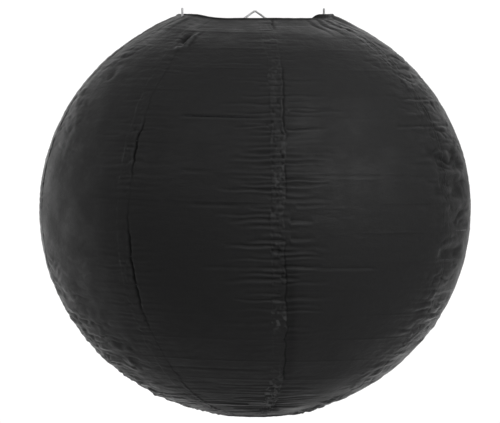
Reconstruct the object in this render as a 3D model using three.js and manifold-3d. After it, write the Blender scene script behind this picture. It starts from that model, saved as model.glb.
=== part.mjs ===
// A round folding paper lantern, 16 inches across, on its wire expander.
//
// The shade is a wire ring at each end with turns of thin rib wire between them, all papered over.
// It folds flat like an accordion, so each turn is a body of its own: one wire ring and one band of
// paper. The bands nest like cups when the turns close up. The expander is a bent wire that stands
// inside, pushes the two end rings apart and ends in the loop that the lantern hangs by.
//
// Millimetres, +Z up. The origin is at the top of the hanging loop's inner side.

import * as THREE from 'three';
import { mergeVertices } from 'three/addons/utils/BufferGeometryUtils.js';
import Module from 'manifold-3d';

// The shade: an ellipsoid of revolution, cut off at both ends. Polar angles run from the top, in degrees.
const SHADE_RADIUS = 203;
const SHADE_HALF_HEIGHT = 195;
const TOP_POLAR = 21.4;
const BOTTOM_POLAR = 170;
const FIRST_RIB_POLAR = 31.5;
const RIB_PITCH = 7.8;
const RIB_TURNS = 18;
const EQUATOR_Z = -185.6;
const SEGMENTS = 32;

// The paper, drawn thicker than it is so that it is a sound solid.
const PAPER_THICKNESS = 0.5;
const CLEARANCE = 0.3;

// The wires.
const RING_WIRE_RADIUS = 1;
const RIB_WIRE_RADIUS = 0.4;
const RING_WIRE_SIDES = 6;
const RIB_WIRE_SIDES = 5;

// The expander lies in one upright plane, turned about the lantern's axis.
const EXPANDER_TURN = THREE.MathUtils.degToRad(29);
const EXPANDER_WIRE_RADIUS = 1;
const EXPANDER_WIRE_SIDES = 6;
const LOOP_BEND = 3;
const LOOP_HALF_ANGLE = THREE.MathUtils.degToRad(58);
const LEG_TOP_REACH = 15;
const LEG_FOOT_REACH = 28;
const FOOT_TIP_REACH = 34.2;
const ARM_SET_BACK = 2 * EXPANDER_WIRE_RADIUS + CLEARANCE;
const ARM_BEND = 1.5;
const ARM_DIP = 8;
const ARM_DIP_BEND = 20;
const HOOK_REACH = 76.2;
const HOOK_TIP_Z = 3.2;
const WIRE_BEND = 2.5;
const BEND_STEPS = 5;
const NOTCH_WIDTH = 6;
const NOTCH_HEIGHT = 12;

const paper = new THREE.MeshStandardMaterial({ name: 'paper', color: 0x1b1b1d, roughness: 0.85, metalness: 0 });
const ribWire = new THREE.MeshStandardMaterial({ name: 'rib_wire', color: 0x3c3c3e, roughness: 0.5, metalness: 1 });
const steel = new THREE.MeshStandardMaterial({ name: 'steel', color: 0x8d8f92, roughness: 0.4, metalness: 1 });

const wasm = await Module();
wasm.setup();

const lantern = new THREE.Group();
lantern.name = 'paper_lantern';

function addPiece(name, geometry, material) {
  const piece = new THREE.Mesh(geometry, material);
  piece.name = name;
  lantern.add(piece);
  return piece;
}

function numbered(stem, index) {
  return `${stem}_${String(index).padStart(2, '0')}`;
}

// Where the shade's surface lies at a polar angle: its distance from the axis, and its height.
function surfaceAt(polarDegrees) {
  const polar = THREE.MathUtils.degToRad(polarDegrees);
  return new THREE.Vector2(
    SHADE_RADIUS * Math.sin(polar),
    EQUATOR_Z + SHADE_HALF_HEIGHT * Math.cos(polar),
  );
}

// A closed section, given anticlockwise as (distance from the axis, height), turned about the axis.
function turned(section) {
  const profile = [...section, section[0]];
  return new THREE.LatheGeometry(profile, SEGMENTS).rotateX(Math.PI / 2);
}

function wireSection(centre, radius, sides) {
  const section = [];
  for (let i = 0; i < sides; i += 1) {
    const angle = (2 * Math.PI * i) / sides;
    section.push(new THREE.Vector2(
      centre.x + radius * Math.cos(angle),
      centre.y + radius * Math.sin(angle),
    ));
  }
  return section;
}

// One band of paper between two turns. Its ends are level, and it leans from its inner radius to its
// outer one, so that no two bands share any radius and they pass each other as the shade folds.
function bandSection(inner, outer) {
  const lean = Math.atan2(Math.abs(outer.y - inner.y), outer.x - inner.x);
  const width = PAPER_THICKNESS / Math.sin(lean);
  const section = [
    new THREE.Vector2(inner.x, inner.y),
    new THREE.Vector2(outer.x - width, outer.y),
    new THREE.Vector2(outer.x, outer.y),
    new THREE.Vector2(inner.x + width, inner.y),
  ];
  return outer.y < inner.y ? section : section.reverse();
}

// The rib wire of a turn lies inside the band's outer end, clear of the paper.
function ribCentre(inner, outer) {
  const lean = Math.atan2(Math.abs(outer.y - inner.y), outer.x - inner.x);
  const width = PAPER_THICKNESS / Math.sin(lean);
  const offset = RIB_WIRE_RADIUS + CLEARANCE;
  const down = Math.sign(outer.y - inner.y);
  return new THREE.Vector2(
    outer.x - width - offset * Math.sin(lean),
    outer.y + down * offset * Math.cos(lean),
  );
}

// A path whose steps fall on its own points, so that bends get many and straight runs few.
class WirePath extends THREE.Curve {
  constructor(points) {
    super();
    this.points = points;
  }

  getPoint(t) {
    const place = t * (this.points.length - 1);
    const index = Math.min(Math.floor(place + 1e-9), this.points.length - 2);
    return this.points[index].clone().lerp(this.points[index + 1], place - index);
  }

  getPointAt(u) {
    return this.getPoint(u);
  }

  getTangentAt(u) {
    const last = this.points.length - 1;
    const index = Math.round(u * last);
    const before = this.points[Math.max(index - 1, 0)];
    const here = this.points[index];
    const after = this.points[Math.min(index + 1, last)];
    const arriving = here.clone().sub(before).normalize();
    const leaving = after.clone().sub(here).normalize();
    return arriving.add(leaving).normalize();
  }
}

// The points of a round bend that joins two straight runs at a corner.
function bendPoints(before, corner, after, radius) {
  const back = before.clone().sub(corner).normalize();
  const on = after.clone().sub(corner).normalize();
  const half = back.angleTo(on) / 2;
  const centre = back.clone().add(on).normalize().multiplyScalar(radius / Math.sin(half)).add(corner);
  const first = back.multiplyScalar(radius / Math.tan(half)).add(corner).sub(centre);
  const last = on.multiplyScalar(radius / Math.tan(half)).add(corner).sub(centre);
  const sweep = first.angleTo(last);
  const points = [];
  for (let i = 0; i <= BEND_STEPS; i += 1) {
    const t = i / BEND_STEPS;
    points.push(first.clone().multiplyScalar(Math.sin((1 - t) * sweep) / Math.sin(sweep))
      .addScaledVector(last, Math.sin(t * sweep) / Math.sin(sweep))
      .add(centre));
  }
  return points;
}

// A round wire through corners given in the expander's plane as [reach, height, bend radius].
function bentWire(corners, setBack) {
  const across = new THREE.Vector3(Math.cos(EXPANDER_TURN), Math.sin(EXPANDER_TURN), 0);
  const behind = new THREE.Vector3(-Math.sin(EXPANDER_TURN), Math.cos(EXPANDER_TURN), 0);
  const places = corners.map(([reach, height]) => new THREE.Vector3(0, 0, height)
    .addScaledVector(across, reach)
    .addScaledVector(behind, setBack));
  const points = [places[0]];
  for (let i = 1; i < places.length - 1; i += 1) {
    points.push(...bendPoints(places[i - 1], places[i], places[i + 1], corners[i][2]));
  }
  points.push(places[places.length - 1]);
  const section = new THREE.Shape().absarc(0, 0, EXPANDER_WIRE_RADIUS, 0, 2 * Math.PI, false);
  return new THREE.ExtrudeGeometry(section, {
    steps: points.length - 1,
    curveSegments: EXPANDER_WIRE_SIDES / 2,
    extrudePath: new WirePath(points),
  });
}

function toSolid(geometry) {
  const bare = geometry.clone();
  bare.deleteAttribute('normal');
  bare.deleteAttribute('uv');
  const merged = mergeVertices(bare);
  return new wasm.Manifold(new wasm.Mesh({
    numProp: 3,
    vertProperties: merged.attributes.position.array,
    triVerts: new Uint32Array(merged.index.array),
  }));
}

function toGeometry(solid) {
  const mesh = solid.getMesh();
  const geometry = new THREE.BufferGeometry();
  geometry.setAttribute('position', new THREE.BufferAttribute(mesh.vertProperties, 3));
  geometry.setIndex(new THREE.BufferAttribute(mesh.triVerts, 1));
  geometry.computeVertexNormals();
  return geometry;
}

// The two holes that the expander's hooks poke in the paper beside the top ring.
function withHookHoles(geometry, height) {
  let solid = toSolid(geometry);
  for (const side of [-1, 1]) {
    const hole = new THREE.BoxGeometry(NOTCH_WIDTH, NOTCH_WIDTH, NOTCH_HEIGHT)
      .translate(side * HOOK_REACH, ARM_SET_BACK, height)
      .rotateZ(EXPANDER_TURN);
    solid = solid.subtract(toSolid(hole));
  }
  return toGeometry(solid);
}

// The levels: the top ring, the turns of rib wire, and the bottom ring.
const levels = [surfaceAt(TOP_POLAR)];
for (let turn = 0; turn < RIB_TURNS; turn += 1) {
  levels.push(surfaceAt(FIRST_RIB_POLAR + turn * RIB_PITCH));
}
levels.push(surfaceAt(BOTTOM_POLAR));
const topLevel = levels[0];
const bottomLevel = levels[levels.length - 1];

// The two end rings lie just inside the paper's edges.
for (const [name, level] of [['top_ring', topLevel], ['bottom_ring', bottomLevel]]) {
  const centre = new THREE.Vector2(level.x - RING_WIRE_RADIUS, level.y);
  addPiece(name, turned(wireSection(centre, RING_WIRE_RADIUS, RING_WIRE_SIDES)), steel);
}

// The bands of paper and the rib wires. Above the widest band a turn is the lower end of its band,
// and below it the upper end. The widest band is an upright sleeve that passes outside its neighbours.
for (let band = 1; band < levels.length; band += 1) {
  const upper = levels[band - 1];
  const lower = levels[band];
  const isSleeve = Math.abs(upper.x - lower.x) < PAPER_THICKNESS;
  const inner = upper.x < lower.x ? upper : lower;
  const outer = upper.x < lower.x ? lower : upper;
  if (isSleeve) {
    const radius = Math.max(upper.x, lower.x) + CLEARANCE;
    addPiece(numbered('paper_band', band), turned([
      new THREE.Vector2(radius, lower.y),
      new THREE.Vector2(radius + PAPER_THICKNESS, lower.y),
      new THREE.Vector2(radius + PAPER_THICKNESS, upper.y),
      new THREE.Vector2(radius, upper.y),
    ]), paper);
  } else {
    const edge = new THREE.Vector2(inner.x + CLEARANCE, inner.y);
    const shape = turned(bandSection(edge, outer));
    addPiece(numbered('paper_band', band), band === 1 ? withHookHoles(shape, upper.y) : shape, paper);
    const turn = outer === lower ? band : band - 1;
    const centre = ribCentre(edge, outer);
    addPiece(numbered('rib_wire', turn), turned(wireSection(centre, RIB_WIRE_RADIUS, RIB_WIRE_SIDES)), ribWire);
  }
}

// The expander's leg wire: from one foot up to the hanging loop and down to the other foot.
const footZ = bottomLevel.y + RING_WIRE_RADIUS + CLEARANCE + EXPANDER_WIRE_RADIUS;
const loopCornerZ = EXPANDER_WIRE_RADIUS + LOOP_BEND / Math.sin(LOOP_HALF_ANGLE) - LOOP_BEND;
const legTopZ = loopCornerZ - LEG_TOP_REACH / Math.tan(LOOP_HALF_ANGLE);
addPiece('expander_leg_wire', bentWire([
  [-FOOT_TIP_REACH, footZ],
  [-LEG_FOOT_REACH, footZ, WIRE_BEND],
  [-LEG_TOP_REACH, legTopZ, WIRE_BEND],
  [0, loopCornerZ, LOOP_BEND],
  [LEG_TOP_REACH, legTopZ, WIRE_BEND],
  [LEG_FOOT_REACH, footZ, WIRE_BEND],
  [FOOT_TIP_REACH, footZ],
], 0), steel);

// The arm wire: it dips towards the legs in the middle, passes under the top ring on both sides, and
// its ends turn up as hooks.
const armZ = topLevel.y - RING_WIRE_RADIUS - CLEARANCE - EXPANDER_WIRE_RADIUS;
addPiece('expander_arm_wire', bentWire([
  [-HOOK_REACH, HOOK_TIP_Z],
  [-HOOK_REACH, armZ, ARM_BEND],
  [0, armZ - ARM_DIP, ARM_DIP_BEND],
  [HOOK_REACH, armZ, ARM_BEND],
  [HOOK_REACH, HOOK_TIP_Z],
], ARM_SET_BACK), steel);

export default lantern;
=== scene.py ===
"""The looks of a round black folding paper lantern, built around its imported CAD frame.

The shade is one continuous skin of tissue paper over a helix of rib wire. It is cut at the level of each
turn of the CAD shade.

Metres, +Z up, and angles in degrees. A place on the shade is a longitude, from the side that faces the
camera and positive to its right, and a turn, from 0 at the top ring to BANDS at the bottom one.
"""

import math

import bpy
import numpy as np
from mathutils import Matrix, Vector


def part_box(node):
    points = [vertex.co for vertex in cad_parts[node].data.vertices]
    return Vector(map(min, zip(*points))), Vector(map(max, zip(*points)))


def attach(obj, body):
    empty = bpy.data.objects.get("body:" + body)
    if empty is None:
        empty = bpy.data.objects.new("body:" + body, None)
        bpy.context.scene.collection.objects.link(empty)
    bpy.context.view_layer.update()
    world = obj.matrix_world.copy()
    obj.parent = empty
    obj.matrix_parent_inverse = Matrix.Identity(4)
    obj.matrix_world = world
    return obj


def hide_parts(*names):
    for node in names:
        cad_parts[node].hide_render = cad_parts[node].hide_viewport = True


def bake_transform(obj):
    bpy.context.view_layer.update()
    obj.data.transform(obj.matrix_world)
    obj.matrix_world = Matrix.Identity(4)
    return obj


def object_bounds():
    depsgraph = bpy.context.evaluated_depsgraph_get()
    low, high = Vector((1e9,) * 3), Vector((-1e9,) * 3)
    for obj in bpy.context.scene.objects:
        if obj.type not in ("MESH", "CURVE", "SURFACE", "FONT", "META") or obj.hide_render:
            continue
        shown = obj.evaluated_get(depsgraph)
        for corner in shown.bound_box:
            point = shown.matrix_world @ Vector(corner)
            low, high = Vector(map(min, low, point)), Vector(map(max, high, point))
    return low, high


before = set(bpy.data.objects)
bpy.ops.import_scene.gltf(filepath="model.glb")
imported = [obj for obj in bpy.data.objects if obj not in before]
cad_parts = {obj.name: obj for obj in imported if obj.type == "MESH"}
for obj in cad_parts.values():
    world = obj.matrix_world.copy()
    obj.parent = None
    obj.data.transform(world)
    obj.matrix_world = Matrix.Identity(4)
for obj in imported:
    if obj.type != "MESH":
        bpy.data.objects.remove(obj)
cad_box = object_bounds()

MM = 0.001
TAU = 2 * math.pi

# The shade: its paper, its gores and its rib wire.
BANDS = 19
PAPER_THICKNESS = 0.35 * MM
SAG_BETWEEN_RIBS = 0.30 * MM
RIB_RIDGE = 0.20 * MM
HELIX_START = 25.0  # where the rib wire leaves the top ring
FRONT_SEAM = 6.2
LEFT_SEAM = -35.8
SEAMS = (-165.0, -122.0, -80.0, LEFT_SEAM, FRONT_SEAM, 60.0, 105.0, 150.0)
SEAM_WIDTH = 12 * MM
SEAM_WANDER = 0.7
FRONT_SEAM_LEAN = 2.5

# The skin's grid: rows down the shade and columns round it.
ROW_HEIGHT = 1.0 * MM
COLUMN_STEP = 0.7  # between seams
SEAM_COLUMN_STEP = 0.22  # beside a seam
SEAM_REACH = 3.4  # either side of a seam, the fine columns
NOISE_ROWS = 256

# Crumples: the height of the large, small and fine ones where the paper is fully crushed.
LARGE_CRUMPLES = 1.5 * MM
SMALL_CRUMPLES = 0.75 * MM
FINE_CRUMPLES = 0.14 * MM

# How far the paper is crushed, where 1 is fully.
CRUSHED_ALL_OVER = 0.06
CRUSHED_BESIDE_SEAMS = 0.16
CRUSHED_PATCHES = 0.10
CRUSHED_SIDES = 0.34
CRUSHED_SIDE_PATCHES = 0.75
CRUSHED_LOW_SIDES = 0.35

# More crushed places: longitude, half width, turn, half height in turns, how far.
CRUSHED_PLACES = (
    (68.0, 10.0, 7.8, 3.2, 0.4),
    (-49.0, 10.0, 13.6, 1.2, 0.8),
    (-60.0, 8.0, 12.4, 1.2, 0.9),
    (-63.0, 7.0, 2.6, 0.8, 0.8),
    (-74.0, 9.0, 4.3, 0.9, 0.7),
    (-76.0, 9.0, 10.6, 0.8, 0.7),
    (74.0, 7.0, 2.5, 0.9, 0.8),
)

# The left side is smooth at mid height: longitude, half width, turn, half height in turns, how much.
SMOOTH_PLACE = (-76.0, 26.0, 7.8, 2.4, 0.75)

# Bays pressed in on the right side: longitude, half width, turn, half height in turns, depth.
SIDE_DENTS = (
    (65.0, 9.0, 6.66, 0.44, 3.2 * MM),
    (67.0, 10.0, 7.64, 0.46, 3.2 * MM),
    (68.0, 9.0, 8.74, 0.44, 3.0 * MM),
    (64.0, 7.0, 10.00, 0.34, 2.6 * MM),
)
# How deep a pressed-in bay must be for its full painted shade, and how strong that painted shade is.
FULL_DENT = 3 * MM  # this deep, a dent is marked fully
DENT_SHADE = 0.4

# The relief along a seam.
LAYER_HEIGHT = 0.14 * MM
LIP_HEIGHT = 0.4 * MM
GROOVE_DEPTH = 0.5 * MM
GAP_DEPTH = 1.8 * MM
FLECK_HEIGHT = 0.8 * MM
LEFT_SEAM_GAPS = ((6.1, 0.9), (10.3, 1.7))  # turn and half height of each stretch that gapes

# Puckers: level folds that run away from both sides of a seam. Each pair is a least and a most.
PUCKER_GAPS = (3.6 * MM, 8 * MM)
PUCKER_LENGTHS = (16 * MM, 60 * MM)
PUCKER_DEPTHS = (0.5 * MM, 2.5 * MM)
PUCKER_WIDTHS = (0.9 * MM, 1.9 * MM)
PUCKER_WAVER = 0.5 * MM
PUCKER_WAVE = 5.5 * MM
PUCKER_LEAD = 1.5 * MM  # before its start, where a pucker fades in
PUCKER_ROWS = 9 * MM  # above and below a pucker, the rows that it moves

# Long level creases: from a longitude to a longitude, at a turn, and how deep.
LONG_CREASES = (
    (-22.5, 3.5, 4.86, 1.7 * MM),
    (-20.0, -9.0, 6.84, 0.8 * MM),
    (50.0, 80.0, 4.28, 1.0 * MM),
    (43.0, 76.0, 5.30, 1.3 * MM),
    (11.0, 37.0, 7.02, 0.6 * MM),
    (-17.0, -1.0, 7.98, 0.9 * MM),
    (-14.5, 36.0, 10.10, 0.8 * MM),
    (-36.0, 4.0, 14.28, 0.7 * MM),
)
CREASE_WIDTH = 1.3 * MM
CREASE_HEIGHT = 0.45 * MM  # off its surroundings, the relief that is marked as a full crease
CREASE_SPREAD = 8  # rounds of smoothing that find a point's surroundings

# The tear beside the left hook.
TEAR = (-32.3, 1.5)  # longitude and turn
TEAR_LIP = 3.0 * MM
TEAR_FOLD = 1.8 * MM
TEAR_RIPPLE = 0.9 * MM
TEAR_PIT = 4.0 * MM

# Where the front seam shows pale specks of paste: turn, half height in turns, how many.
SPECKS = ((3.2, 0.9, 0.25), (7.0, 1.6, 0.35), (12.1, 0.35, 0.8), (16.5, 1.6, 1.0))

# The top ring is bent up at the two hooks that hold it and sags between them. Each raised stretch is a
# middle longitude, a half width and how sharply it ends.
RIM_RISE = 1.3 * MM
RIM_SAG = 2.7 * MM
RAISED_STRETCHES = ((-68.0, 32.0, 4), (107.0, 23.0, 10))
CORNER_FOLDS = ((39.0, 0.9 * MM), (48.0, 1.3 * MM), (58.0, 1.1 * MM), (71.0, 0.8 * MM))  # longitude, depth
CORNER_FOLD_LEAN = 2.0  # outward in one turn
CORNER_FOLD_WIDTH = 2.4 * MM
CORNER_SHARES = ((-1, 0.35), (1, 1.0))  # the side, and how much of their depth the folds have there

# The hems.
HEM_COLUMNS = 540
HEM_OUTSIDE = 0.35  # millimetres off the ring wire
HEM_INSIDE = 0.08
HEM_FLAP = 6  # the loose flap's length in millimetres
HEM_FLAP_LEAN = 0.10

# The wires.
RING_WIRE = 1.0 * MM
RIB_WIRE = 0.4 * MM
RIB_WIRE_GAP = 0.05 * MM  # between the rib wire and the paper
EXPANDER_WIRE = 1.0 * MM
GAP = 0.3 * MM
RING_STEPS = 240
RIB_STEPS = 181  # in one turn
WIRE_STEP = 6 * MM
BEND_POINTS = 9

# The expander's route, as in the CAD.
EXPANDER_TURN = math.radians(29)
LOOP_BEND = 3 * MM
LOOP_HALF_ANGLE = math.radians(58)
LEG_TOP_REACH = 15 * MM
LEG_FOOT_REACH = 28 * MM
FOOT_TIP_REACH = 34.2 * MM
HOOK_REACH = 76.2 * MM
HOOK_TIP = 3.2 * MM
ARM_DIP = 8 * MM
ARM_DIP_BEND = 20 * MM
WIRE_BEND = 2.5 * MM
ARM_BEND = 1.5 * MM
WELD_SIZE = (1.5 * MM, 1.35 * MM, 1.3 * MM)  # across the plane of the wires, through it, and up

# Colours.
PAPER_DARK = (0.0075, 0.0075, 0.0080, 1)
PAPER_PALE = (0.0165, 0.0165, 0.0168, 1)
# Painted shade beside the rib wire, multiplied into the paper's colour.
PAPER_RIB_SHADOW = (0.62, 0.62, 0.62, 1)
PAPER_SHADE = (0.002, 0.002, 0.002, 1)
PAPER_EDGE = (0.120, 0.120, 0.121, 1)
PAPER_WORN = (0.040, 0.040, 0.041, 1)
RIB_WIRE_COLOUR = (0.06, 0.06, 0.065)
STEEL_COLOUR = (0.78, 0.78, 0.79)

# The view.
CAMERA_DISTANCE = 3.8
CAMERA_RISE = 0.17
VIEW_WIDTH = 0.4712
VIEW_SHIFT = (-0.0100, -0.0044)
SENSOR_WIDTH = 36
FLOOR_DROP = 1.2
FLOOR_SIZE = 9.0
FLOOR_GLOW = 0.66
WORLD_SEEN = 1.05  # the surround's strength to the camera, and as light from the front and from behind
WORLD_FRONT = 0.222
WORLD_BACK = 2.4

# The lights: where each stands, its height off the shade's middle, its size and its power in watts.
LIGHTS = {
    "key softbox": ((2.45, -2.05), 1.8, (3.0, 3.0), 66),
    "fill softbox": ((-2.3, -1.9), 2.4, (2.4, 2.4), 18),
    "left rim softbox": ((-2.3, 1.45), -0.2, (0.8, 2.6), 14),
    "left edge softbox": ((-1.2, 3.0), 0, (0.8, 2.6), 10),
    "right rim softbox": ((1.2, 2.9), 1.6, (0.8, 1.0), 5),
    "top softbox": ((0, 2.0), 2.2, (1.6, 1.2), 9),
    "low softbox": ((0.2, 2.2), -1.1, (2.6, 0.7), 19),
}


# ---------------------------------------------------------------- places, from the frame

def shade_levels():
    """The height of each end of each CAD band, from the top ring down."""
    tops = [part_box(f"paper_band_{band:02d}")[1].z for band in range(1, BANDS + 1)]
    return np.array(tops + [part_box(f"paper_band_{BANDS:02d}")[0].z])


LEVELS = shade_levels()
WIDEST = (BANDS - 1) // 2
EQUATOR = (LEVELS[WIDEST - 1] + LEVELS[WIDEST]) / 2
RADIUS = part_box(f"paper_band_{WIDEST:02d}")[1].x
TOP_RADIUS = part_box("top_ring")[1].x
TOP_POLAR = math.asin(TOP_RADIUS / RADIUS)
HALF_HEIGHT = (LEVELS[0] - EQUATOR) / math.cos(TOP_POLAR)
POLARS = np.arccos((LEVELS - EQUATOR) / HALF_HEIGHT)


def polar_at(turn):
    """The polar angle at a turn, from the top and in radians."""
    return np.interp(turn, np.arange(BANDS + 1), POLARS)


def down_shade(turn):
    """Metres down the shade's surface from its pole."""
    return polar_at(turn) * RADIUS


# ---------------------------------------------------------------- shapes and noise

def bell(x, width):
    """1 at 0, fading on both sides."""
    return np.exp(-(x / width) ** 2)


def plateau(x, half_width, power=4):
    """1 over a flat middle, and falling to 0 around the half width."""
    return np.exp(-np.abs(x / half_width) ** power)


def valley(x):
    """The section of a crease: sharp in the middle, and fading within a distance of 1 or 2."""
    return np.exp(-np.sqrt(x ** 2 + 0.1))


def step(x, low, high):
    """0 up to low, 1 from high on, and smooth between them."""
    t = np.clip((x - low) / (high - low), 0, 1)
    return t * t * (3 - 2 * t)


def angle_between(a, b):
    """Degrees from b to a, from -180 to 180."""
    return (a - b + 180) % 360 - 180


def noise(u, v, seed, columns):
    """Smooth noise from -1 to 1. u and v count in cells, and u wraps after so many columns."""
    grid = np.random.default_rng(seed).uniform(-1, 1, (NOISE_ROWS, columns))
    u0 = np.floor(u).astype(int)
    v0 = np.floor(v).astype(int)
    fu = u - u0
    fv = v - v0
    fu = fu * fu * (3 - 2 * fu)
    fv = fv * fv * (3 - 2 * fv)
    left, right = u0 % columns, (u0 + 1) % columns
    low, high = v0 % NOISE_ROWS, (v0 + 1) % NOISE_ROWS
    below = grid[low, left] * (1 - fu) + grid[low, right] * fu
    above = grid[high, left] * (1 - fu) + grid[high, right] * fu
    return below * (1 - fv) + above * fv


def noise_round(longitude, v, seed, cells, shift=0.0):
    """The same noise over the shade, with so many cells round it."""
    return noise(longitude / 360 * cells + shift, v, seed, cells)


# ---------------------------------------------------------------- the skin's grid

def column_longitudes():
    """Longitudes of the skin's columns: fine ones beside each seam, wider ones between."""
    places = []
    for index, seam in enumerate(SEAMS):
        following = SEAMS[(index + 1) % len(SEAMS)]
        span = (following - seam) % 360
        fine = np.arange(-SEAM_REACH, SEAM_REACH, SEAM_COLUMN_STEP)
        count = int(round((span - 2 * SEAM_REACH) / COLUMN_STEP))
        wide = np.linspace(SEAM_REACH, span - SEAM_REACH, count, endpoint=False)
        places.extend(seam + np.concatenate([fine, wide]))
    return np.array(places)


def band_rows():
    """The turns of the skin's rows, band by band."""
    rows = []
    for band in range(BANDS):
        length = abs(POLARS[band + 1] - POLARS[band]) * RADIUS
        count = max(6, int(round(length / ROW_HEIGHT)))
        rows.append(np.linspace(band, band + 1, count + 1))
    return rows


def seam_wave(longitude, turn):
    """How far the gores lean off their meridians: they were glued by hand."""
    front = bell(angle_between(longitude, FRONT_SEAM), 40) * step(turn, 8, 16)
    return SEAM_WANDER * noise_round(longitude, turn / 2.3, 11, 8) + FRONT_SEAM_LEAN * front


def lean(longitude, turn):
    """The longitude where a point of a gore really lies. The gores don't lean at the rings."""
    return longitude + seam_wave(longitude, turn) * step(turn, 0, 1) * step(-turn, -BANDS, 1 - BANDS)


def seam_offset(longitude, turn):
    """Metres across the surface from the nearest seam's middle, positive to its right, with ragged edges."""
    down = down_shade(turn)
    ragged = 1.3 * noise_round(longitude, down / (11 * MM), 13, 90)
    ragged = ragged + 0.7 * noise_round(longitude, down / (4.5 * MM), 17, 200)
    radius = RADIUS * np.sin(polar_at(turn))
    nearest = np.full(longitude.shape, 1e3)
    for seam in SEAMS:
        away = np.radians(angle_between(longitude, seam)) * radius
        nearest = np.where(np.abs(away) < np.abs(nearest), away, nearest)
    return nearest + ragged * MM


def rib_bay(longitude, turn):
    """(share of the way down between two turns of wire, the bay's height in turns) at each point."""
    ahead = (longitude - HELIX_START) / 360
    helix = turn - ahead
    upper = np.maximum(np.floor(helix) + ahead, 0)
    lower = np.minimum(np.floor(helix) + 1 + ahead, BANDS)
    height = np.maximum(lower - upper, 1e-4)
    return (turn - upper) / height, height


# ---------------------------------------------------------------- what stands off the skin

def off_wire(share):
    """How far the paper is free to stand off the smooth shade: least where it is glued to the rib wire."""
    return 0.4 + 0.6 * step(np.minimum(share, 1 - share), 0.0, 0.22)


def patch(longitude, turn, middle, half_width, place, half_height, strength):
    """A soft patch on the shade, at its full strength in the middle."""
    return strength * bell(angle_between(longitude, middle), half_width) * bell(turn - place, half_height)


def crumple_mask(longitude, turn):
    """How far the paper has been crushed: most at the sides and beside the seams, and in patches."""
    beside = bell(np.abs(seam_offset(longitude, turn)), 16 * MM)
    patches = step(noise_round(longitude, turn / 3.1, 23, 15), 0.0, 0.7)
    round_to_side = np.abs(angle_between(longitude, 0))
    sides = step(round_to_side, 38, 62) * (1 - 0.5 * step(round_to_side, 68, 84))
    low = step(turn, 9.5, 13)
    mask = CRUSHED_ALL_OVER + CRUSHED_BESIDE_SEAMS * beside + CRUSHED_PATCHES * patches
    mask += sides * (CRUSHED_SIDES + CRUSHED_SIDE_PATCHES * patches + CRUSHED_LOW_SIDES * low)
    mask += sum(patch(longitude, turn, *place) for place in CRUSHED_PLACES)
    return mask * (1 - patch(longitude, turn, *SMOOTH_PLACE))


def crumples(longitude, turn):
    """Crumples with sharp folds, mostly level, as a height in metres."""
    down = down_shade(turn)
    shift = noise_round(longitude, down / (18 * MM), 31, 60)
    large = np.abs(noise_round(longitude, down / (9 * MM) + 0.6 * shift, 37, 34, 0.3 * shift))
    small = np.abs(noise_round(longitude, down / (5.5 * MM) + 0.3 * shift, 43, 90, 0.4 * shift))
    fine = noise_round(longitude, down / (3.6 * MM), 47, 300)
    crushed = LARGE_CRUMPLES * large + SMALL_CRUMPLES * small + FINE_CRUMPLES * fine
    return crumple_mask(longitude, turn) * crushed


def side_dents(longitude, turn):
    """Bays on the right side that have been pressed in, with uneven outlines, in metres."""
    depth = np.zeros(longitude.shape)
    waver = noise_round(longitude, turn * 2.2, 131, 40)
    for middle, half_width, place, half_height, deepest in SIDE_DENTS:
        reach = plateau(angle_between(longitude, middle) + 4 * waver, half_width)
        depth += deepest * reach * plateau(turn + 0.12 * waver - place, half_height)
    return depth


def gaping(longitude, turn):
    """1 along the stretches where the left seam's edge gapes, 0 elsewhere."""
    beside = bell(angle_between(longitude, LEFT_SEAM), 8)
    return beside * sum(plateau(turn - middle, half_height) for middle, half_height in LEFT_SEAM_GAPS)


def gather(longitude, turn):
    """How tightly the paper is gathered along the nearest seam: most at the front one, over the middle."""
    front = bell(angle_between(longitude, FRONT_SEAM), 24)
    middle = step(turn, 2.0, 5.5) * step(-turn, -13.5, -11.0) * (1 - 0.35 * step(turn, 9.5, 11.5))
    low = bell(turn - 16.9, 1.3)
    others = 0.22 + 0.22 * noise_round(longitude, turn / 2.1, 67, 8)
    others = others * (0.4 + 0.6 * step(turn, 3, 5))
    return front * (0.12 + 0.88 * middle + 0.9 * low) + (1 - front) * others


def seam_relief(longitude, turn):
    """The overlap's double layer, its flecks, and its right edge lifted here and there."""
    across = seam_offset(longitude, turn)
    half = SEAM_WIDTH / 2
    left_edge = step(across, -half - 0.5 * MM, -half + 0.5 * MM)
    right_edge = step(-across, -half - 0.3 * MM, -half + 0.3 * MM)
    layer = left_edge * right_edge
    lifted = step(noise_round(longitude, turn / 1.7, 53, 8, 3), -0.1, 0.6)
    lip = bell(across - half + 0.8 * MM, 1.6 * MM) * lifted
    groove = bell(across - half - 0.9 * MM, 1.1 * MM) * (0.15 + 0.6 * lifted)
    gap = bell(across - half - 1.1 * MM, 1.7 * MM) * gaping(longitude, turn)
    flecks = np.abs(noise_round(longitude, down_shade(turn) / (3.8 * MM), 59, 330)) * layer
    raised = LAYER_HEIGHT * layer + LIP_HEIGHT * lip + FLECK_HEIGHT * flecks * gather(longitude, turn)
    return raised - GROOVE_DEPTH * groove - GAP_DEPTH * gap


def add_puckers(relief, columns, turns):
    """Presses level folds into the relief on both sides of each seam, fading away from it."""
    random = np.random.default_rng(71)
    down = down_shade(turns)
    for seam in SEAMS:
        for side in (-1, 1):
            place = down[0] + 6 * MM
            while place < down[-1] - 8 * MM:
                place += random.uniform(*PUCKER_GAPS)
                pucker = {
                    "place": place,
                    "start": (random.normal(0, 7) - 1) * MM,
                    "length": random.uniform(*PUCKER_LENGTHS),
                    "depth": random.uniform(*PUCKER_DEPTHS),
                    "width": random.uniform(*PUCKER_WIDTHS),
                    "slope": random.normal(0, 0.018),
                    "bow": random.normal(0, 0.0005) / MM,
                    "phase": random.uniform(0, TAU),
                }
                press_pucker(relief, columns, down, seam, side, pucker)


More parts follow.
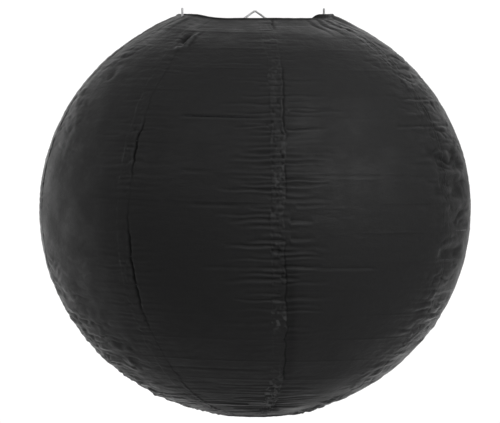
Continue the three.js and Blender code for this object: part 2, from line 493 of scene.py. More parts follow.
def press_pucker(relief, columns, down, seam, side, pucker):
    """One level fold: a sharp valley with a ridge under it, wavering as it runs away from the seam."""
    place, length = pucker["place"], pucker["length"]
    start = max(pucker["start"], -SEAM_WIDTH / 2)
    rows = np.flatnonzero(np.abs(down - place) < PUCKER_ROWS)
    radius = RADIUS * math.sin(place / RADIUS)
    across = np.radians(angle_between(columns, seam)) * radius * side - start
    near = np.flatnonzero((across > -PUCKER_LEAD) & (across < length))
    if not len(rows) or not len(near):
        return
    along = across[near]
    waver = PUCKER_WAVER * np.sin(along / PUCKER_WAVE + pucker["phase"])
    centre = place + pucker["slope"] * along + pucker["bow"] * along ** 2 + waver
    away = (down[rows][:, None] - centre[None, :]) / pucker["width"]
    taper = step(along, -PUCKER_LEAD, 1.0 * MM) * np.clip(1 - along / length, 0, 1) ** 0.55
    fold = 0.65 * bell(away - 1.9, 1.0) - valley(away)
    turn = np.interp([place], POLARS * RADIUS, np.arange(BANDS + 1))
    strength = gather(np.array([seam]), turn)[0]
    relief[np.ix_(rows, near)] += pucker["depth"] * strength * taper * fold


def from_tear(longitude, turn):
    """Metres across the shade to the right of the tear's middle, and down the shade below it."""
    radius = RADIUS * math.sin(polar_at(TEAR[1]))
    across = np.radians(angle_between(longitude, TEAR[0])) * radius
    return across, (polar_at(turn) - polar_at(TEAR[1])) * RADIUS


def tear(longitude, turn):
    """The small tear beside the left hook: a pit with a lifted lip on its right, above a second fold."""
    across, down = from_tear(longitude, turn)
    pit = bell(across + 3 * MM, 3.2 * MM) * bell(down + 3 * MM, 7 * MM)
    lip = bell(across - 3.5 * MM + 0.2 * down, 2.0 * MM) * bell(down, 11 * MM)
    fold = bell(across + 3 * MM, 3 * MM) * bell(down - 12 * MM, 2.2 * MM)
    crushed = bell(across, 12 * MM) * bell(down, 17 * MM)
    ripple = np.abs(noise(across / (4.5 * MM) + 40, down / (5 * MM) + 40, 83, 80))
    return TEAR_LIP * lip + TEAR_FOLD * fold + TEAR_RIPPLE * crushed * ripple - TEAR_PIT * pit


def long_creases(longitude, turn):
    """Level creases far longer than the puckers, where the paper was folded against the rib wire."""
    from_front = angle_between(longitude, 0)
    pitch = (POLARS[10] - POLARS[9]) * RADIUS
    relief = np.zeros(longitude.shape)
    for start, end, place, depth in LONG_CREASES:
        level = place + (from_front - start) / 360
        away = (turn - level) * pitch / CREASE_WIDTH
        reach = step(from_front, start - 1, start + 3) * step(-from_front, -end, 6 - end)
        relief += depth * reach * (0.35 * bell(away - 2.2, 1.2) - valley(away))
    return relief


def corner_folds(longitude, turn):
    """Folds that run down from the raised corners of the top ring, shallower on the left."""
    from_front = angle_between(longitude, 0)
    radius = RADIUS * np.sin(polar_at(turn))
    fade = step(turn, -0.05, 0.15) * step(-turn, -1.35, -0.6)
    waver = 2.2 * noise_round(longitude, turn * 2.5 + 3, 127, 30)
    relief = np.zeros(longitude.shape)
    for start, depth in CORNER_FOLDS:
        for side, share in CORNER_SHARES:
            degrees = side * from_front - start - CORNER_FOLD_LEAN * turn + waver
            across = np.radians(degrees) * radius
            fold = 0.5 * bell(across - 5 * MM, 3 * MM) - valley(across / CORNER_FOLD_WIDTH)
            relief += depth * share * fade * fold
    return relief


def skin_relief(columns, turns):
    """Everything that stands off the smooth skin, in metres, on a grid of turns by columns."""
    longitude, turn = np.meshgrid(columns, turns)
    relief = crumples(longitude, turn) - side_dents(longitude, turn) + seam_relief(longitude, turn)
    add_puckers(relief, columns, turns)
    share, _ = rib_bay(lean(longitude, turn), turn)
    ends = step(turn, 0.0, 0.25) * step(-turn, -BANDS, 0.25 - BANDS)
    relief *= off_wire(share) * (0.25 + 0.75 * ends)
    return relief + long_creases(longitude, turn) + corner_folds(longitude, turn) + tear(longitude, turn)


# ---------------------------------------------------------------- marks for the paper's material

def creased(relief):
    """Marks from 0 to 1 where the relief is a valley, which gets painted shade, and where it is a ridge, next
    to its surroundings.
    """
    around = relief
    for _ in range(CREASE_SPREAD):
        rows = np.pad(around, ((1, 1), (0, 0)), mode="edge")
        beside = np.roll(around, 1, axis=1) + np.roll(around, -1, axis=1)
        around = (2 * around + rows[:-2] + rows[2:] + beside) / 6
    above = (relief - around) / CREASE_HEIGHT
    return {"valley": np.clip(-above, 0, 1), "ridge": np.clip(above, 0, 1)}


def specks(longitude, turn):
    """Pale specks of paste on the front seam's overlap."""
    down = down_shade(turn)
    drift = noise_round(longitude, down / (5 * MM), 109, 220)
    grains = step(noise_round(longitude, down / (2.6 * MM) + drift, 113, 420, drift), 0.05, 0.5)
    half = SEAM_WIDTH / 2
    on_seam = step(-np.abs(seam_offset(longitude, turn)), -half - 1 * MM, -half + 1 * MM)
    front = bell(angle_between(longitude, FRONT_SEAM), 12)
    thick = sum(share * bell(turn - middle, half_height) for middle, half_height, share in SPECKS)
    return grains * on_seam * front * thick


def shade_marks(longitude, turn):
    """Painted shade beside the glued seams' edges and where the left seam gapes, in the tear's pit and in the
    pressed-in bays, with a darker patch beside the front seam.
    """
    across = seam_offset(longitude, turn)
    half = SEAM_WIDTH / 2
    broken = step(noise_round(longitude, turn / 1.2, 101, 8, 5), -0.35, 0.3)
    closed = bell(angle_between(longitude, LEFT_SEAM), 8)
    # Painted shade beside each seam's edge in broken stretches, and along the left seam where it gapes.
    edge = bell(across - half - 0.8 * MM, 1.1 * MM) * broken * (1 - 0.8 * closed)
    gap = bell(across - half - 1.1 * MM, 1.5 * MM) * gaping(longitude, turn)
    front = bell(angle_between(longitude, FRONT_SEAM), 12)
    # A darker patch to the right of the front seam.
    dark_patch = 0.6 * bell(across - half - 5 * MM, 5 * MM) * bell(turn - 12, 2.4) * front
    right, below = from_tear(longitude, turn)
    # Painted shade in the tear's pit.
    pit_shade = bell(right + 3 * MM, 3.0 * MM) * bell(below + 3 * MM, 6.5 * MM)
    # Painted shade in the pressed-in bays, darker where they are deeper.
    pressed = DENT_SHADE * np.clip(side_dents(longitude, turn) / FULL_DENT, 0, 1)
    return np.maximum.reduce([edge, gap, dark_patch, pit_shade, pressed])


def pale_marks(longitude, turn):
    """Pale loose edges, specks of paste and the lips of the tear."""
    across = seam_offset(longitude, turn)
    pale = step(noise_round(longitude, turn / 0.9, 103, 8, 2), 0.0, 0.6)
    edge = 0.15 * bell(across + SEAM_WIDTH / 2, 0.8 * MM) * pale
    right, below = from_tear(longitude, turn)
    lip = bell(right - 3.5 * MM, 1.8 * MM) * bell(below, 9 * MM)
    fold = bell(right + 4 * MM, 3 * MM) * bell(below - 12 * MM, 2 * MM)
    return np.clip(edge + specks(longitude, turn) + np.maximum(lip, fold), 0, 1)


# ---------------------------------------------------------------- the paper's meshes

def rim_lift(longitude, turn):
    """How far the hooks bend the top ring and the paper beside it, in metres along Z."""
    raised = sum(plateau(angle_between(longitude, middle), half_width, power)
                 for middle, half_width, power in RAISED_STRETCHES)
    return ((RIM_RISE + RIM_SAG) * raised - RIM_SAG) * bell(turn, 0.9)


def skin_points(longitude, turn, inward=0.0, relief=0.0):
    """Points of the skin at longitudes and turns, with a relief on top."""
    leaning = lean(longitude, turn)
    share, height = rib_bay(leaning, turn)
    slack = 0.75 + 0.5 * noise_round(leaning, turn / 1.3, 89, 12) + 1.6 * bell(turn - 0.5, 0.5)
    sag = SAG_BETWEEN_RIBS * slack * 4 * share * (1 - share) * np.minimum(height, 1) ** 2
    worn = step(noise_round(leaning, turn * 1.1, 97, 18), -0.4, 0.5)
    ridge = RIB_RIDGE * bell(np.minimum(share, 1 - share), 0.05) * worn
    polar = polar_at(turn)
    phi = np.radians(leaning)
    slope = np.stack([np.sin(polar) * np.sin(phi) / RADIUS,
                      -np.sin(polar) * np.cos(phi) / RADIUS,
                      np.cos(polar) / HALF_HEIGHT], axis=-1)
    normal = slope / np.linalg.norm(slope, axis=-1, keepdims=True)
    places = np.stack([RADIUS * np.sin(polar) * np.sin(phi),
                       -RADIUS * np.sin(polar) * np.cos(phi),
                       EQUATOR + HALF_HEIGHT * np.cos(polar)], axis=-1)
    places = places + normal * (relief + ridge - sag - inward)[..., None]
    places[..., 2] += rim_lift(leaning, turn)
    return places


def grid_normals(points):
    """Smooth normals of a grid of points that wraps across its columns."""
    across = np.roll(points, -1, axis=1) - np.roll(points, 1, axis=1)
    down = np.gradient(points, axis=0)
    normals = np.cross(down, across)
    return normals / np.linalg.norm(normals, axis=-1, keepdims=True)


def mesh_object(name, points, faces, material):
    mesh = bpy.data.meshes.new(name)
    mesh.from_pydata([tuple(p) for p in points], [], faces)
    mesh.materials.append(material)
    mesh.polygons.foreach_set("use_smooth", [True] * len(mesh.polygons))
    mesh.update()
    obj = bpy.data.objects.new(name, mesh)
    bpy.context.scene.collection.objects.link(obj)
    return obj


def grid_faces(rows, columns, first=0, flip=False):
    """Quads of a grid whose columns wrap round."""
    row, column = np.meshgrid(np.arange(rows - 1), np.arange(columns), indexing="ij")
    a = first + row * columns + column
    b = first + row * columns + (column + 1) % columns
    c = b + columns
    d = a + columns
    quads = np.stack([a, d, c, b] if not flip else [a, b, c, d], axis=-1)
    return quads.reshape(-1, 4)


def sheet_object(name, outer, inner, outer_normals, inner_normals, uv, material):
    """A closed thin shell between two grids that wrap across their columns, with the normals given."""
    rows, columns = outer.shape[:2]
    count = rows * columns
    points = np.concatenate([outer.reshape(-1, 3), inner.reshape(-1, 3)])
    column = np.arange(columns)
    beside = (column + 1) % columns
    top_edge = np.stack([column, beside, count + beside, count + column], axis=-1)
    last = (rows - 1) * columns
    low_edge = np.stack([last + column, count + last + column, count + last + beside, last + beside], axis=-1)
    faces = np.concatenate([
        grid_faces(rows, columns), grid_faces(rows, columns, count, flip=True), top_edge, low_edge])
    obj = mesh_object(name, points, faces.tolist(), material)
    mesh = obj.data
    loops = np.empty(len(mesh.loops), dtype=int)
    mesh.loops.foreach_get("vertex_index", loops)
    normals = np.concatenate([outer_normals.reshape(-1, 3), inner_normals.reshape(-1, 3)])
    mesh.normals_split_custom_set(normals[loops])
    flat = np.concatenate([uv.reshape(-1, 2)] * 2)[loops]
    # A face across the last column keeps its texture whole.
    face_of = np.repeat(np.arange(len(faces)), 4)
    widest = np.zeros(len(faces))
    np.maximum.at(widest, face_of, flat[:, 0])
    wrap = (widest[face_of] - flat[:, 0]) > 0.5
    flat[wrap, 0] += 1
    layer = mesh.uv_layers.new(name="skin")
    layer.data.foreach_set("uv", flat.ravel())
    return obj


def bend_with_band(obj):
    """Bakes a piece's transform into its mesh; the piece is not bent between bodies or tied to them."""
    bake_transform(obj)


def build_shade(material):
    """The paper of the shade: one slab for each band of the CAD shade, each between two turns."""
    columns = column_longitudes()
    bands = band_rows()
    turns = np.concatenate([rows if band == 0 else rows[1:] for band, rows in enumerate(bands)])
    longitude, turn = np.meshgrid(columns, turns)
    relief = skin_relief(columns, turns)
    outer = skin_points(longitude, turn, 0.0, relief)
    inner = skin_points(longitude, turn, PAPER_THICKNESS, relief)
    outer_normals = grid_normals(outer)
    inner_normals = -grid_normals(inner)
    uv = np.stack([(longitude - columns[0]) / 360, turn / BANDS], axis=-1)
    # The first mark holds painted shade; the second holds pale edges, specks of paste and the tear's lips.
    marks = {"painted_shade_mark": shade_marks(longitude, turn), "loose_edge": pale_marks(longitude, turn)}
    marks.update(creased(relief))
    first = 0
    for band, rows in enumerate(bands, start=1):
        part = slice(first, first + len(rows))
        obj = sheet_object(f"paper_{band:02d}", outer[part], inner[part], outer_normals[part],
                           inner_normals[part], uv[part], material)
        for name, values in marks.items():
            layer = obj.data.attributes.new(name, "FLOAT", "POINT")
            layer.data.foreach_set("value", np.tile(values[part].ravel(), 2))
        bend_with_band(obj)
        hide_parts(f"paper_band_{band:02d}")
        first += len(rows) - 1


def hem_section():
    """The hem's section: cosine, sine and flap length, round the wire and down a short loose flap."""
    turned = [(math.cos(angle), math.sin(angle), 0.0) for angle in np.radians(np.linspace(-60, 200, 14))]
    flap = [(*turned[-1][:2], length) for length in np.linspace(1, HEM_FLAP, HEM_FLAP)]
    return turned + flap


def hem_grid(longitude, body, level, turn, into, stand):
    """Points of one side of a hem. into is Z's sign towards the shade, stand is millimetres off the wire."""
    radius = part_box(body)[1].x - RING_WIRE
    phi = np.radians(longitude)
    lift = rim_lift(longitude, turn)
    section = hem_section()
    grid = []
    for index, (along, over, flap) in enumerate(section):
        share = index / (len(section) - 1)
        pucker = 0.16 * noise_round(longitude + 180, share * 4, 61, 120)
        pucker = pucker + 0.14 * noise_round(longitude + 180, share * 2, 67, 40)
        reach = RING_WIRE + (stand + pucker * (0.4 + share)) * MM
        r = radius + along * reach - flap * HEM_FLAP_LEAN * MM
        z = into * (flap * MM - over * reach)
        grid.append(np.stack([r * np.sin(phi), -r * np.cos(phi), level + z + lift], axis=-1))
    return np.array(grid)


def build_hems(material):
    """The ends of the gores, folded over the end rings and glued down inside."""
    longitude = np.linspace(-180, 180, HEM_COLUMNS, endpoint=False)
    for end, level, turn, into in (("top", LEVELS[0], 0, -1), ("bottom", LEVELS[-1], BANDS, 1)):
        body = f"{end}_ring"
        outer = hem_grid(longitude, body, level, turn, into, HEM_OUTSIDE)
        inner = hem_grid(longitude, body, level, turn, into, HEM_INSIDE)
        if into > 0:
            outer, inner = outer[::-1], inner[::-1]
        rows = len(outer)
        around = np.tile((longitude + 180) / 360, (rows, 1))
        down = np.tile(turn / BANDS + np.linspace(0, 0.02, rows)[:, None], (1, HEM_COLUMNS))
        normals = grid_normals(outer)
        uv = np.stack([around, down], axis=-1)
        obj = sheet_object(f"{end}_hem", outer, inner, normals, -normals, uv, material)
        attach(obj, body)


# ---------------------------------------------------------------- wires

def swept(name, path, radius, material, sides=12, closed=False, up=(0.0, 0.0, 1.0)):
    """A round wire along a path of points. An open wire has domed ends. up is never along the path."""
    path = np.asarray(path, dtype=float)
    if closed:
        tangent = np.roll(path, -1, axis=0) - np.roll(path, 1, axis=0)
    else:
        tangent = np.gradient(path, axis=0)
    tangent /= np.linalg.norm(tangent, axis=1, keepdims=True)
    radii = np.full(len(path), radius)
    if not closed:
        dome = radius * np.cos(np.radians([80, 50, 25]))
        reach = radius * np.sin(np.radians([80, 50, 25]))
        path = np.concatenate([path[0] - np.outer(reach, tangent[0]), path,
                               path[-1] + np.outer(reach[::-1], tangent[-1])])
        tangent = np.concatenate([np.tile(tangent[0], (3, 1)), tangent, np.tile(tangent[-1], (3, 1))])
        radii = np.concatenate([dome, radii, dome[::-1]])
    side = np.cross(tangent, np.asarray(up))
    side /= np.linalg.norm(side, axis=1, keepdims=True)
    over = np.cross(side, tangent)
    angles = np.linspace(0, TAU, sides, endpoint=False)
    ring = side[:, None] * np.cos(angles)[None, :, None] + over[:, None] * np.sin(angles)[None, :, None]
    points = path[:, None] + ring * radii[:, None, None]
    rows = len(path)
    if closed:
        faces = (grid_faces(rows + 1, sides, flip=True) % (rows * sides)).tolist()
    else:
        faces = grid_faces(rows, sides, flip=True).tolist()
        faces.append(list(range(sides))[::-1])
        faces.append([(rows - 1) * sides + k for k in range(sides)])
    return mesh_object(name, points.reshape(-1, 3), faces, material)


def build_rib_wire(material):
    """The rib wire: one helix just inside the paper, cut at the level of each turn."""
    longitude = np.linspace(HELIX_START - 360, HELIX_START, RIB_STEPS)
    inward = PAPER_THICKNESS + RIB_WIRE + RIB_WIRE_GAP
    for band in range(1, BANDS + 1):
        turn = band + (longitude - HELIX_START) / 360
        path = skin_points(longitude, turn, inward)
        obj = swept(f"rib_wire_run_{band:02d}", path, RIB_WIRE, material, sides=6)
        bend_with_band(obj)
        if band < BANDS:
            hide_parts(f"rib_wire_{band:02d}")


def ring_path(radius, height, turn):
    """A ring round the axis, bent by the expander as the skin's edge at that turn is."""
    longitude = np.linspace(-180, 180, RING_STEPS, endpoint=False)
    phi = np.radians(longitude)
    lift = rim_lift(longitude, turn)
    return np.stack([radius * np.sin(phi), -radius * np.cos(phi), height + lift], axis=-1)


def build_rings(material):
    """The wire rings at the two ends of the shade."""
    for name, level, turn in (("top_ring", LEVELS[0], 0), ("bottom_ring", LEVELS[-1], BANDS)):
        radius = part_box(name)[1].x - RING_WIRE
        obj = swept(f"{name}_wire", ring_path(radius, level, turn), RING_WIRE, material, closed=True)
        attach(obj, name)
        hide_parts(name)


def bend_points(before, corner, after, radius):
    """Points of a round bend that joins two straight runs at a corner."""
    back = (before - corner).normalized()
    on = (after - corner).normalized()
    half = back.angle(on) / 2
    centre = corner + (back + on).normalized() * (radius / math.sin(half))
    first = corner + back * (radius / math.tan(half)) - centre
    last = corner + on * (radius / math.tan(half)) - centre
    sweep = first.angle(last)
    return [centre + (first * math.sin((1 - t) * sweep) + last * math.sin(t * sweep)) / math.sin(sweep)
            for t in np.linspace(0, 1, BEND_POINTS)]


def expander_point(reach, height, set_back):
    """A point by the expander's plane: reach across it, and set_back behind it."""
    across = Vector((math.cos(EXPANDER_TURN), math.sin(EXPANDER_TURN), 0))
    behind = Vector((-math.sin(EXPANDER_TURN), math.cos(EXPANDER_TURN), 0))
    return across * reach + behind * set_back + Vector((0, 0, height))


def wire_through(corners, set_back):
    """A path through corners (reach, height, bend radius) by the expander's plane, in short steps."""
    places = [expander_point(reach, height, set_back) for reach, height, _ in corners]
    path = [places[0]]
    for i in range(1, len(places) - 1):
        path.extend(bend_points(places[i - 1], places[i], places[i + 1], corners[i][2]))
    path.append(places[-1])
    fine = [path[0]]
    for a, b in zip(path, path[1:]):
        count = max(1, math.ceil((b - a).length / WIRE_STEP))
        fine.extend(a.lerp(b, k / count) for k in range(1, count + 1))
    return fine


def build_expander(material):
    """The expander: the leg wire with its hanging loop and feet, the arm wire and the two welds."""
    behind = (-math.sin(EXPANDER_TURN), math.cos(EXPANDER_TURN), 0.0)
    foot_height = LEVELS[-1] + RING_WIRE + GAP + EXPANDER_WIRE
    arm_height = LEVELS[0] - RING_WIRE - GAP - EXPANDER_WIRE
    corner_height = EXPANDER_WIRE + LOOP_BEND / math.sin(LOOP_HALF_ANGLE) - LOOP_BEND
    leg_top = corner_height - LEG_TOP_REACH / math.tan(LOOP_HALF_ANGLE)
    leg_corners = [
        (-FOOT_TIP_REACH, foot_height, 0),
        (-LEG_FOOT_REACH, foot_height, WIRE_BEND),
        (-LEG_TOP_REACH, leg_top, WIRE_BEND),
        (0, corner_height, LOOP_BEND),
        (LEG_TOP_REACH, leg_top, WIRE_BEND),
        (LEG_FOOT_REACH, foot_height, WIRE_BEND),
        (FOOT_TIP_REACH, foot_height, 0),
    ]
    arm_corners = [
        (-HOOK_REACH, HOOK_TIP, 0),
        (-HOOK_REACH, arm_height, ARM_BEND),
        (0, arm_height - ARM_DIP, ARM_DIP_BEND),
        (HOOK_REACH, arm_height, ARM_BEND),
        (HOOK_REACH, HOOK_TIP, 0),
    ]
    set_back = 2 * EXPANDER_WIRE + GAP
    legs = swept("expander_legs", wire_through(leg_corners, 0), EXPANDER_WIRE, material, up=behind)
    arm = swept("expander_arm", wire_through(arm_corners, set_back), EXPANDER_WIRE, material, up=behind)
    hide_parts("expander_leg_wire")
    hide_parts("expander_arm_wire")

    # The welds are where the arm, which rises from its dip, crosses the legs, which lean outward.
    rise = ARM_DIP / HOOK_REACH
    leaning = (LEG_FOOT_REACH - LEG_TOP_REACH) / (leg_top - foot_height)
    dip_height = arm_height - ARM_DIP
    weld_reach = (LEG_TOP_REACH + (leg_top - dip_height) * leaning) / (1 + rise * leaning)
    weld_height = dip_height + rise * weld_reach
    left = weld_bead("weld_left", expander_point(-weld_reach, weld_height, set_back / 2), material)
    right = weld_bead("weld_right", expander_point(weld_reach, weld_height, set_back / 2), material)
    for obj in (legs, arm, left, right):
        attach(obj, "expander")


def weld_bead(name, place, material):
    """A spot weld: a small squeezed blob of metal between the two wires."""
    rows, columns = 9, 16
    wide, deep, high = WELD_SIZE
    points = []
    for i in range(1, rows):
        polar = math.pi * i / rows
        for k in range(columns):
            around = TAU * k / columns
            swell = 1 + 0.10 * math.sin(3 * around + 2 * polar)
            reach = wide * math.sin(polar) * math.cos(around) * swell
            height = high * math.sin(polar) * math.sin(around) * swell
            points.append(place + expander_point(reach, height, deep * math.cos(polar)))
    points += [place + expander_point(0, 0, deep), place + expander_point(0, 0, -deep)]
    faces = grid_faces(rows - 1, columns, flip=True).tolist()
    top, bottom = len(points) - 2, len(points) - 1
    last = (rows - 2) * columns
    for k in range(columns):
        m = (k + 1) % columns
        faces.append((top, m, k))
        faces.append((bottom, last + k, last + m))
    return mesh_object(name, points, faces, material)


# ---------------------------------------------------------------- materials

def new_material(name):
    material = bpy.data.materials.new(name)
    material.use_nodes = True
    tree = material.node_tree
    return material, tree, tree.nodes["Principled BSDF"]


def link_math(tree, operation, a, b):
    node = tree.nodes.new("ShaderNodeMath")
    node.operation = operation
    for socket, value in zip(node.inputs, (a, b)):
        if isinstance(value, (int, float)):
            socket.default_value = value
        else:
            tree.links.new(value, socket)
    return node.outputs[0]


def weighted_sum(tree, *terms):
    """The sum of terms, each a value and its weight."""
    products = [link_math(tree, "MULTIPLY", value, weight) for value, weight in terms]
    total = products[0]
    for product in products[1:]:
        total = link_math(tree, "ADD", total, product)
    return total


def ramp(tree, value, low, high, to_low=0.0, to_high=1.0):
    node = tree.nodes.new("ShaderNodeMapRange")
    node.interpolation_type = "SMOOTHSTEP"
    tree.links.new(value, node.inputs["Value"])
    for key, number in (("From Min", low), ("From Max", high), ("To Min", to_low), ("To Max", to_high)):
        node.inputs[key].default_value = number
    return node.outputs[0]


def texture_noise(tree, vector, scale, detail, roughness, stretch=(1, 1, 1)):
    mapping = tree.nodes.new("ShaderNodeMapping")
    mapping.inputs["Scale"].default_value = stretch
    tree.links.new(vector, mapping.inputs["Vector"])
    node = tree.nodes.new("ShaderNodeTexNoise")
    node.inputs["Scale"].default_value = scale
    node.inputs["Detail"].default_value = detail
    node.inputs["Roughness"].default_value = roughness
    tree.links.new(mapping.outputs[0], node.inputs["Vector"])
    return node.outputs["Fac"]


def attribute(tree, name):
    node = tree.nodes.new("ShaderNodeAttribute")
    node.attribute_name = name
    return node.outputs["Fac"]


def mixed_colour(tree, base, colour, mark, share, blend="MIX"):
    """The base colour blended with another by share times a mark from 0 to 1."""
    node = tree.nodes.new("ShaderNodeMixRGB")
    node.blend_type = blend
    tree.links.new(link_math(tree, "MULTIPLY", mark, share), node.inputs[0])
    tree.links.new(base, node.inputs[1])
    node.inputs[2].default_value = colour
    return node.outputs[0]


def add_bump(tree, shader, height, strength, distance):
    bump = tree.nodes.new("ShaderNodeBump")
    bump.inputs["Strength"].default_value = strength
    bump.inputs["Distance"].default_value = distance
    tree.links.new(height, bump.inputs["Height"])
    tree.links.new(bump.outputs[0], shader.inputs["Normal"])


def axis_of(tree, vector, axis):
    """One coordinate of a vector."""
    parts = tree.nodes.new("ShaderNodeSeparateXYZ")
    tree.links.new(vector, parts.inputs[0])
    return parts.outputs[axis]


def rib_lines(tree):
    """Marks from 0 to 1 over the rib wire, and beside it for painted shade, from the longitudes and turns in
    the skin's UVs.
    """
    uv = tree.nodes.new("ShaderNodeUVMap")
    uv.uv_map = "skin"
    turn = link_math(tree, "MULTIPLY", axis_of(tree, uv.outputs[0], 1), float(BANDS))
    first_column = (column_longitudes()[0] - HELIX_START) / 360
    ahead = link_math(tree, "ADD", axis_of(tree, uv.outputs[0], 0), first_column)
    from_wire = link_math(tree, "PINGPONG", link_math(tree, "SUBTRACT", turn, ahead), 0.5)
    return ramp(tree, from_wire, 0.012, 0.05, 1.0, 0.0), ramp(tree, from_wire, 0.03, 0.11, 1.0, 0.0)


def paper_material():
    """Black tissue paper: matt, with fibres, wrinkles, paler creases, faint lines over the rib wire and
    painted shade.
    """
    material, tree, shader = new_material("black tissue paper")
    coords = tree.nodes.new("ShaderNodeTexCoord").outputs["Object"]
    over_wire, rib_wire_shade = rib_lines(tree)
    fibres = texture_noise(tree, coords, 900, 2.0, 0.6, (1, 1, 0.35))
    mottle = texture_noise(tree, coords, 38, 4.0, 0.6)
    wrinkles = texture_noise(tree, coords, 95, 5.0, 0.62, (1, 1, 2.6))
    crinkle = texture_noise(tree, coords, 240, 3.0, 0.6, (1, 1, 1.7))
    # The wire's ridge and its painted shade show in some stretches only.
    stretches = ramp(tree, texture_noise(tree, coords, 11, 2.0, 0.5, (1, 1, 2.5)), 0.48, 0.64)
    over_wire = link_math(tree, "MULTIPLY", over_wire, stretches)
    rib_wire_shade = link_math(tree, "MULTIPLY", rib_wire_shade, stretches)

    tones = tree.nodes.new("ShaderNodeValToRGB")
    tones.color_ramp.elements[0].position = 0.30
    tones.color_ramp.elements[0].color = PAPER_DARK
    tones.color_ramp.elements[1].position = 0.72
    tones.color_ramp.elements[1].color = PAPER_PALE
    tree.links.new(weighted_sum(tree, (mottle, 0.55), (fibres, 0.45)), tones.inputs[0])
    painted_shade_mark = attribute(tree, "painted_shade_mark")
    # Painted shade beside the rib wire.
    colour = mixed_colour(tree, tones.outputs[0], PAPER_RIB_SHADOW, rib_wire_shade, 0.45, "MULTIPLY")
    # Painted shade along the seam edges, in the tear's pit and in the pressed-in bays, and a darker patch by
    # the front seam.
    colour = mixed_colour(tree, colour, PAPER_SHADE, painted_shade_mark, 0.9)
    colour = mixed_colour(tree, colour, PAPER_EDGE, attribute(tree, "loose_edge"), 0.8)
    # Painted shade in the crease valleys.
    colour = mixed_colour(tree, colour, PAPER_SHADE, attribute(tree, "valley"), 0.75)
    colour = mixed_colour(tree, colour, PAPER_WORN, attribute(tree, "ridge"), 0.5)
    tree.links.new(colour, shader.inputs["Base Color"])

    duller = link_math(tree, "MULTIPLY", painted_shade_mark, 0.25)
    roughness = link_math(tree, "ADD", ramp(tree, mottle, 0.3, 0.7, 0.58, 0.74), duller)
    tree.links.new(roughness, shader.inputs["Roughness"])
    shader.inputs["Specular IOR Level"].default_value = 0.42
    shader.inputs["Sheen Weight"].default_value = 0.05
    shader.inputs["Sheen Roughness"].default_value = 0.45
    height = weighted_sum(tree, (wrinkles, 1.1), (crinkle, 0.35), (fibres, 0.05), (over_wire, 0.25))
    add_bump(tree, shader, height, 0.5, 0.9 * MM)
    return material


def wire_material(name, colour, roughness, metallic):
    """Drawn steel wire: dulled by its coating, with faint draw lines and darker patches."""
    material, tree, shader = new_material(name)
    coords = tree.nodes.new("ShaderNodeTexCoord").outputs["Object"]
    patches = texture_noise(tree, coords, 160, 4.0, 0.6)
    lines = texture_noise(tree, coords, 700, 2.0, 0.5, (1, 1, 0.2))
    mix = tree.nodes.new("ShaderNodeMixRGB")
    mix.inputs[1].default_value = (*colour, 1)
    mix.inputs[2].default_value = (*[c * 0.55 for c in colour], 1)
    tree.links.new(ramp(tree, patches, 0.42, 0.7), mix.inputs[0])
    tree.links.new(mix.outputs[0], shader.inputs["Base Color"])
    tree.links.new(ramp(tree, patches, 0.3, 0.7, roughness, roughness + 0.2), shader.inputs["Roughness"])
    shader.inputs["Metallic"].default_value = metallic
    add_bump(tree, shader, lines, 0.25, 0.1 * MM)
    return material


# ---------------------------------------------------------------- camera, floor and light

def floor_material():
    """A plain pale floor that looks as evenly lit as the surround."""
    material, tree, shader = new_material("pale floor")
    shader.inputs["Base Color"].default_value = (0.5, 0.5, 0.5, 1)
    shader.inputs["Roughness"].default_value = 0.9
    shader.inputs["Emission Color"].default_value = (1, 1, 1, 1)
    seen = tree.nodes.new("ShaderNodeLightPath").outputs["Is Camera Ray"]
    tree.links.new(link_math(tree, "MULTIPLY", seen, FLOOR_GLOW), shader.inputs["Emission Strength"])
    return material


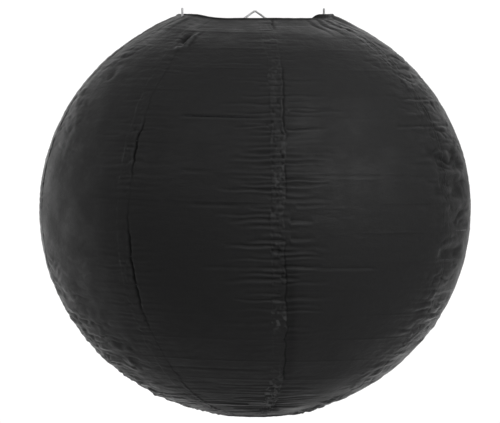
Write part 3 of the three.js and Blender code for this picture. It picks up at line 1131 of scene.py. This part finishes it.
def build_camera():
    """About level with the top ring and nineteen radii away, looking at the lantern's middle."""
    camera = bpy.data.objects.new("camera", bpy.data.cameras.new("camera"))
    bpy.context.scene.collection.objects.link(camera)
    target = Vector((0, 0, EQUATOR))
    place = Vector((0, -CAMERA_DISTANCE, EQUATOR + CAMERA_RISE))
    camera.location = place
    camera.rotation_mode = "QUATERNION"
    camera.rotation_quaternion = (target - place).to_track_quat("-Z", "Y")
    camera.data.sensor_width = SENSOR_WIDTH
    camera.data.lens = SENSOR_WIDTH * CAMERA_DISTANCE / VIEW_WIDTH
    camera.data.shift_x, camera.data.shift_y = VIEW_SHIFT
    camera.data.clip_end = 60
    bpy.context.scene.camera = camera


def build_floor():
    """A white floor, far enough below to catch no shadow."""
    bpy.ops.mesh.primitive_plane_add(size=FLOOR_SIZE, location=(0, 0, cad_box[0].z - FLOOR_DROP))
    floor = bpy.context.object
    floor.name = "floor"
    floor.data.materials.append(floor_material())


def build_world():
    """An even white surround to the camera, which lights the shade mostly from behind."""
    world = bpy.data.worlds.new("studio")
    bpy.context.scene.world = world
    world.use_nodes = True
    tree = world.node_tree
    background = tree.nodes["Background"]
    background.inputs["Color"].default_value = (1, 1, 1, 1)
    direction = tree.nodes.new("ShaderNodeTexCoord").outputs["Generated"]
    behind = ramp(tree, axis_of(tree, direction, 1), 0.72, 1.0, WORLD_FRONT, WORLD_BACK)
    seen = tree.nodes.new("ShaderNodeLightPath").outputs["Is Camera Ray"]
    unseen = link_math(tree, "SUBTRACT", 1.0, seen)
    strength = weighted_sum(tree, (behind, unseen), (seen, WORLD_SEEN))
    tree.links.new(strength, background.inputs["Strength"])


def build_lights():
    """Softboxes that all point at the lantern's middle and don't show."""
    middle = Vector((0, 0, EQUATOR))
    for name, (across, rise, size, power) in LIGHTS.items():
        data = bpy.data.lights.new(name, "AREA")
        data.shape = "RECTANGLE"
        data.size, data.size_y = size
        data.energy = power
        light = bpy.data.objects.new(name, data)
        bpy.context.scene.collection.objects.link(light)
        light.location = (*across, EQUATOR + rise)
        light.rotation_euler = (middle - light.location).to_track_quat("-Z", "Y").to_euler()
        light.visible_camera = False


bpy.context.scene.view_settings.view_transform = "Standard"
build_camera()
build_floor()
build_world()
build_lights()
paper = paper_material()
build_shade(paper)
build_hems(paper)
build_rib_wire(wire_material("dark rib wire", RIB_WIRE_COLOUR, 0.45, 1.0))
steel = wire_material("galvanised steel wire", STEEL_COLOUR, 0.42, 0.3)
build_rings(steel)
build_expander(steel)
